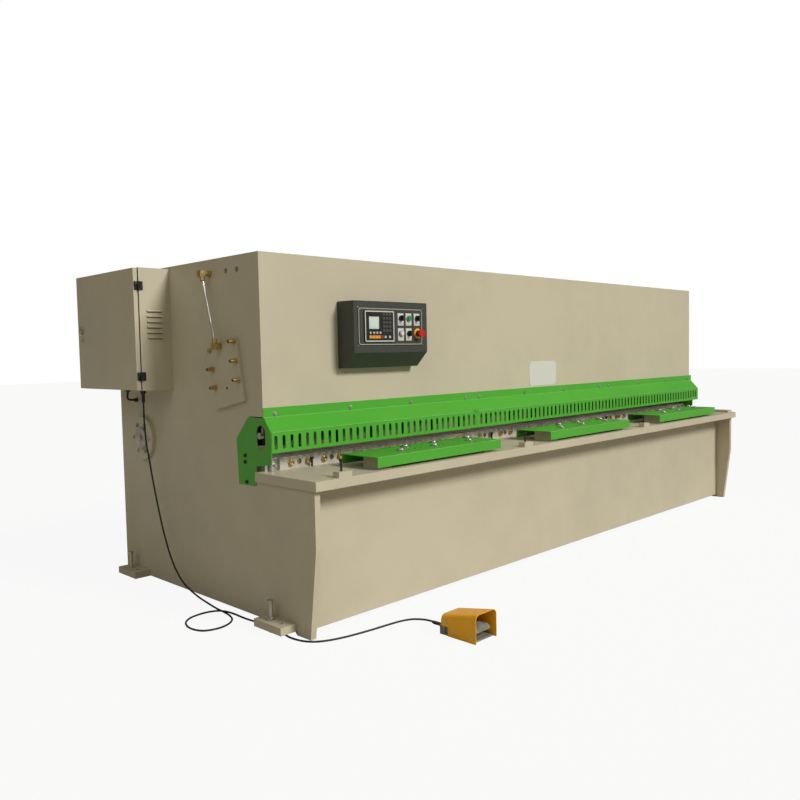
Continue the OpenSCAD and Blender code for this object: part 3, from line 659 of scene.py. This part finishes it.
end_bolts = [hex_bolt("end_bolt", at(-2168, y, z), "-x", 15, 6)
             for y, z in ((143, 771), (145, 741), (136, 648))]
keep(join("end_guard_bolts", end_bolts), "grey_paint")
knob = rod("guard_latch", at(-2150, 31, 868), "-x", 15, 16, 24)
shape_face(knob, "-x", ("inset", 3), ("push", 3), ("inset", 4), ("push", -3))
arm = block("guard_latch_arm", at(-2152, 22, 860), at(-2146, 40, 912))
keep(join("guard_latch", [knob, soften(arm, 1)]), "bare_steel")

# %% [markdown]
# ## Ball units in the trays
#
# Sheets roll over the trays on steel balls. Each ball sits in a pressed cup with a wide
# flange. The units stand in two rows, with rows of small free holes between them. The cup is
# a disc whose top face is inset and pushed twice, and the ball is a sphere sunk into it.

# %% Ball units
tray_starts = [-1799, -416, 921]
tray_top = 760
unit_places = [(x, -268) for x in (245, 485, 760)] + [(x, -175) for x in (370, 580, 855)]
spots = [at(start + x, y, tray_top) for start in tray_starts for x, y in unit_places]
collar = rod("ball_collar", Vector((0, 0, -0.0005)), "z", 27, 3, 28)
shape_face(collar, "z", ("inset", 4), ("push", 1.5), ("inset", 5), ("push", 4), ("inset", 3),
           ("push", -4))
keep(repeat("ball_collars", collar, spots), "chromed_rod")
roller = ball("roller_ball", Vector((0, 0, 0.002)), 14, 12)
keep(repeat("roller_balls", roller, spots), "bare_steel")

# The lip along each tray's front edge is a thin bead of lighter green: a painted highlight.
lips = [rod("tray_lip", at(start, -361, tray_top - 0.8), "x", 1.5, 910, 10)
        for start in tray_starts]
keep(join("tray_lips", lips), "green_paint", finish=painted_highlight_green)
print(len(spots), "ball units")

# %% [markdown]
# ## The control panel
#
# The panel is a dark plate with a thin pale line printed round it. On the left sits a keypad
# with a pale frame, a small grey screen and rows of keys. On the right the buttons and
# switches stand on blank legend plates, and the stop button has a yellow disc behind it. The
# lines are real frames: a plane with rounded corners is inset, its middle is deleted and the
# ring is extruded.

# %% Control panel
panel_y = -123
keypad_y = -130
row_high, row_low = 1408, 1331
columns = (-1392, -1335, -1275)
stop_x = -1269

line_print = plastic("panel_line_print", (0.40, 0.39, 0.32), 0.5)
outline = rim("panel_outline", at(-1680, panel_y, 1275), at(-1236, panel_y, 1454), 14, 3.5, 0.8)
keep(outline, "dark_paint", finish=line_print)
bezel_plastic = plastic("keypad_bezel_plastic", (0.60, 0.58, 0.48), 0.4)
bezel = rim("keypad_bezel", at(-1645, keypad_y, 1290), at(-1447, keypad_y, 1441), 6, 5.5, 1.4)
keep(bezel, "white_plastic", finish=bezel_plastic)
screen_glass = plastic("screen_glass", (0.60, 0.70, 0.60), 0.15)
screen = plate("keypad_screen", -1616.5, -1547.5, 1352.5, 1413.5, -126, 1.2)
keep(screen, "white_plastic", finish=screen_glass)


def keys(name, places, width, height, colour, roughness=0.4):
    """Equal keys on the keypad, each with a shallow dished top."""
    key = plate(name, -width / 2, width / 2, -height / 2, height / 2, keypad_y, 1.6, 0.5)
    shape_face(key, "-y", ("inset", 1.2), ("push", -0.3))
    finish = plastic(name + "_plastic", colour, roughness)
    keep(repeat(name, key, [shift(x, 0, z) for x, z in places]), "white_plastic", finish=finish)


keys("arrow_keys", [(x, 1334) for x in (-1609, -1586, -1564, -1543)], 11, 10,
     (0.55, 0.55, 0.50))
keys("orange_keys", [(x, 1313) for x in (-1608, -1589, -1570, -1551)], 17, 15,
     (0.75, 0.33, 0.03))
keys("red_keys", [(-1530, 1313)], 17, 15, (0.32, 0.035, 0.02))
keys("pale_keys", [(-1508, 1313), (-1478, 1313)], 13, 12, (0.50, 0.52, 0.46))
keys("number_keys", [(x, z) for x in (-1516, -1495, -1474) for z in range(1345, 1426, 20)],
     13, 12, (0.085, 0.088, 0.082))

legend_plastic = plastic("legend_plastic", (0.60, 0.58, 0.55), 0.45)
legend = plate("legend", -21, 21, -31, 31, panel_y, 0.8)
legend_places = [(x, row_high - 6) for x in columns] + [(x, row_low - 5) for x in columns[:2]]
legends = repeat("legend_plates", legend, [shift(x, 0, z) for x, z in legend_places])
keep(legends, "white_plastic", finish=legend_plastic)
disc = bore(rod("stop_disc", at(stop_x, panel_y, row_low), "-y", 26, 1.6, 40), "y", 10.9)
keep(soften(disc, 0.4), "pedal_yellow")

ring = bore(rod("button_ring", at(0, panel_y - 6.5, 0), "-y", 15.8, 2.2, 40), "y", 4.2)
soften(ring, 0.5)
ring_places = [(columns[1], row_high), (columns[0], row_low)]
keep(repeat("button_rings", ring, [shift(x, 0, z) for x, z in ring_places]), "bare_steel")
corner_screw = rod("panel_screw", at(0, -120, 0), "-y", 3.6, 3.4, 16)
shape_face(corner_screw, "-y", ("inset", 1), ("push", 0.8), ("inset", 1), ("push", -0.8))
corners = [(x, z) for x in (-1683, -1233) for z in (1272, 1457)]
keep(repeat("panel_screws", corner_screw, [shift(x, 0, z) for x, z in corners]), "bare_steel")
print(len(legend_places), "legend plates,", len(ring_places), "button rings")

# %% [markdown]
# ## Louvres, hinges and lock of the cabinet
#
# The cabinet breathes through six pressed louvres in its front. Each has a hood that opens
# downwards. The black hinges have one leaf on the door, which moves with the door, and a
# knuckle that the pin runs through. A quarter-turn latch with a key cylinder below it closes
# the door.

# %% Louvre hoods
louvre_x, louvre_w = -2296, 78
louvre_top = 1463
louvre = block("louvre", at(louvre_x - 5, 785 - 9, louvre_top + 3),
               at(louvre_x + louvre_w + 5, 785, louvre_top + 13))
soften(louvre, 4, 4)
keep(repeat("louvre_hoods", louvre, [shift(z=-27 * i) for i in range(6)]), "beige_paint")

# %% Hinges and latch
leaves = []
for z in (1118, 1575):
    leaves.append(plate("leaf", -2362, -2343.5, z, z + 43, 788, 4.5, 1))
    leaves.append(plate("knuckle_cover", -2361.5, -2338, z + 22, z + 43.4, 788, 10.6, 1))
    leaves.append(rod("knuckle", at(-2340.5, 778, z + 22), "z", 7.5, 21.4, 24))
    for dz in (8, 35):
        leaves.append(rod("leaf_screw", at(-2354, 788 - 4.5, z + dz), "-y", 3, 1.2, 12))
keep(join("door_leaves", leaves), "black_plastic", "door")

latch_y, latch_z = 1398, 1387
wing = soften(block("wing", at(-2383, latch_y - 4, latch_z - 27), at(-2377, latch_y + 4,
                                                                     latch_z + 27)), 2)
cross = soften(block("cross", at(-2381, latch_y - 15, latch_z - 5), at(-2377, latch_y + 15,
                                                                       latch_z + 5)), 2)
cylinder = rod("key_cylinder", at(-2365, latch_y, latch_z - 50), "-x", 9, 6, 24)
shape_face(cylinder, "-x", ("inset", 3), ("push", 2), ("inset", 4), ("push", -2))
keep(join("door_latch", [wing, cross, cylinder]), "chromed_rod", "door")

# %% [markdown]
# ## Fittings on the side plate
#
# Oil and grease reach the cylinder through brass fittings on the guide plate: a hexagon with
# a short barrel, open at its end. The bright pipe is held in its elbows by nuts, which lean
# as the pipe does. The swing pivot has a ring of bolts and a grease nipple in its cap.

# %% Brass fittings
fitting = join("fitting", [
    rod("hexagon", at(-2185, 0, 0), "-x", 14, 11, 6),
    shape_face(rod("barrel", at(-2196, 0, 0), "-x", 9, 24, 20), "-x", ("inset", 2.5),
               ("push", -14))])
fitting_places = [(366, 1172), (347, 1084), (178, 1301), (167, 1211), (152, 1123)]
keep(repeat("brass_fittings", fitting, [shift(0, y, z) for y, z in fitting_places]), "brass")

pipe_lean = -math.degrees(math.atan2(101, 349))
nuts = []
for y, z in ((302.3, 1296), (388.6, 1594)):
    foot = at(-2212, y, z)
    nuts.append(lean(rod("pipe_nut", foot, "z", 12, 21, 6), foot, pipe_lean))
for y, z, reach in ((400, 1630, 30), (298, 1281, 10)):
    nuts.append(rod("stub_nut", at(-2165 if z > 1500 else -2185, y, z), "-x", 15, reach / 2, 6))
nuts.append(rod("elbow_plug", at(-2212, 385, 1630), "-y", 9, 2, 6))
nuts.append(hex_bolt("drain_plug", at(-2185, 388, 1262), "-x", 22, 10))
keep(join("pipe_nuts", nuts), "brass")

hole_plug = rod("hole_plug", at(-2185, 252, 1083), "-x", 6.5, 1, 20)
shape_face(hole_plug, "-x", ("inset", 1.5), ("push", -0.8))
keep(hole_plug, "black_plastic")

# %% Pivot bolts
pivot_y, pivot_z = 1114, 795
pivot_parts = []
for side, face_x in (("-x", -2187), ("x", 2187)):
    for turn_deg in range(0, 360, 60):
        y = pivot_y + 80 * math.cos(math.radians(turn_deg))
        z = pivot_z + 80 * math.sin(math.radians(turn_deg))
        pivot_parts.append(hex_bolt("pivot_bolt", at(face_x, y, z), side, 20, 9))
    cap = rod("pivot_cap", at(face_x, pivot_y, pivot_z), side, 62, 6, 48)
    shape_face(cap, side, ("inset", 4), ("push", 2), ("inset", 38), ("push", 3), ("inset", 6),
               ("push", 6))
    pivot_parts.append(cap)
keep(join("pivot_caps", pivot_parts), "bare_steel")

# %% [markdown]
# ## The conduit, the blank plate and the rear cover
#
# A short black conduit runs from the cabinet's floor into the side plate. A blank pale plate
# is riveted to the front, where such a machine carries its data. A folded sheet closes the
# back between the side plates, over the tie beam, so no daylight comes through the slots.

# %% Conduit and plates
conduit_route = [(-2265, 1094, 1070), (-2265, 1096, 1050), (-2258, 1118, 1026),
                 (-2236, 1152, 1010), (-2205, 1178, 1004), (-2165, 1190, 1002)]
conduit, conduit_length = round_cord("cabinet_conduit", [at(*p) for p in conduit_route], 12)
conduit.data.materials.append(finishes["cord_black"].material)
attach(conduit, "frame")
conduit_nuts = [rod("conduit_nut", at(-2265, 1094, 1052), "z", 12, 16, 6),
                rod("conduit_nut", at(-2181, 1190, 1002), "x", 12, 16, 6)]
keep(join("conduit_nuts", conduit_nuts), "black_plastic")

blank = plate("data_plate", -115, 184, 1005, 1160, 0, 1.2, 0.5)
shape_face(blank, "-y", ("inset", 5), ("push", -0.4))
keep(blank, "white_plastic", finish=plastic("blank_plate_enamel", (0.66, 0.64, 0.58), 0.35))
rivet = rod("rivet", at(0, -1, 0), "-y", 4, 1, 16)
shape_face(rivet, "-y", ("inset", 1.2), ("push", 1))
rivets = [(x, z) for x in (-107, 176) for z in (1013, 1152)]
keep(repeat("plate_rivets", rivet, [shift(x, 0, z) for x, z in rivets]), "bare_steel")

rear = block("rear_cover", at(-2134, 1346, 291), at(2134, 1349, 900))
shape_face(rear, "y", ("inset", 40), ("push", -1.5))
shape_face(rear, "z", ("push", 0.5))
keep(rear, "beige_paint")
rear_screw = hex_bolt("rear_screw", at(0, 1349, 0), "y", 16, 7)
rear_places = [(x, z) for x in range(-2100, 2101, 600) for z in (310, 880)]
keep(repeat("rear_screws", rear_screw, [shift(x, 0, z) for x, z in rear_places]), "zinc_plate")

# %% [markdown]
# ## The pedal
#
# The pedal's hood is pressed sheet, with a seam along each side, and its base is a casting.
# The treadle has raised ribs for the shoe. A tapered sleeve keeps the cord from kinking where
# it enters.

# %% Pedal details
ribs = []
for y in range(-826, -740, 14):
    top = 51 + 6 * (-716 - y) / 116
    ribs.append(soften(block("rib", at(-1706, y, top - 1), at(-1620, y + 5, top + 2.4)), 1.2))
keep(join("treadle_ribs", ribs), "pedal_grey", "treadle")

hood_screws = []
for z, y in ((24, -848), (24, -740), (62, -700)):
    for side, x in (("-x", -1734), ("x", -1592)):
        screw = rod("hood_screw", at(x, y, z), side, 6, 2, 16)
        hood_screws.append(shape_face(screw, side, ("inset", 1.5), ("push", 1.2)))
keep(join("hood_screws", hood_screws), "bare_steel")

relief = lean(rod("cord_relief", at(-1704.5, -645, 30), "y", 8, 42, 20), at(-1704.5, -645, 30), 0)
shape_face(relief, "y", ("inset", 2.2), ("push", 8))
keep(relief, "black_plastic")

# %% [markdown]
# ## The studio
#
# A large soft lamp from the front lights the long front. A weak lamp and a warm fill light
# the end with the cabinet. The camera sees a white world, but no light comes from that white. The floor is
# pale, and it is brightened for the camera alone, so it keeps the machine's soft shadow.

# %% Studio
world = bpy.data.worlds.new("studio")
bpy.context.scene.world = world
world.use_nodes = True
tree = world.node_tree
tree.nodes.clear()
fill_level = 0.15
path = tree.nodes.new("ShaderNodeLightPath")
fill = tree.nodes.new("ShaderNodeBackground")
fill.inputs["Color"].default_value = (1.0, 0.94, 0.74, 1)
fill.inputs["Strength"].default_value = fill_level
backdrop = tree.nodes.new("ShaderNodeBackground")
backdrop.inputs["Color"].default_value = (1, 1, 1, 1)
either = tree.nodes.new("ShaderNodeMixShader")
tree.links.new(path.outputs["Is Camera Ray"], either.inputs[0])
tree.links.new(fill.outputs[0], either.inputs[1])
tree.links.new(backdrop.outputs[0], either.inputs[2])
sky = tree.nodes.new("ShaderNodeOutputWorld")
tree.links.new(either.outputs[0], sky.inputs["Surface"])



def lamp(name, comes_from, strength, spread_degrees):
    """A sun lamp whose shadows are as soft as its spread is wide."""
    bpy.ops.object.light_add(type="SUN", location=at(0, -3000, 4000))
    light = bpy.context.active_object
    light.name = name
    light.data.energy = strength
    light.data.angle = math.radians(spread_degrees)
    light.rotation_euler = Vector(comes_from).to_track_quat("Z", "Y").to_euler()


lamp("front_lamp", (0.27, -1.0, 0.70), 2.70, 17)
lamp("end_lamp", (-1.0, -0.45, 0.85), 0.42, 40)

clear()
bpy.ops.mesh.primitive_plane_add(size=80, location=(0, 0, -0.0005))
floor = settle("studio_floor")
pale = Finish("studio_floor_paint", (0.50, 0.48, 0.42), 0.9)
lift = pale.add("ShaderNodeEmission", {}, Color=(1, 1, 1, 1), Strength=1.0)
camera_ray = pale.add("ShaderNodeLightPath", {})
mixed = pale.add("ShaderNodeMixShader", {}, camera_ray * 0.92)
mixer = mixed.socket.node
pale.links.new(pale.shader.outputs[0], mixer.inputs[1])
pale.links.new(lift.socket, mixer.inputs[2])
pale.links.new(mixer.outputs[0], pale.nodes["Material Output"].inputs["Surface"])
floor.data.materials.append(pale.material)

bpy.context.scene.view_settings.view_transform = "Standard"
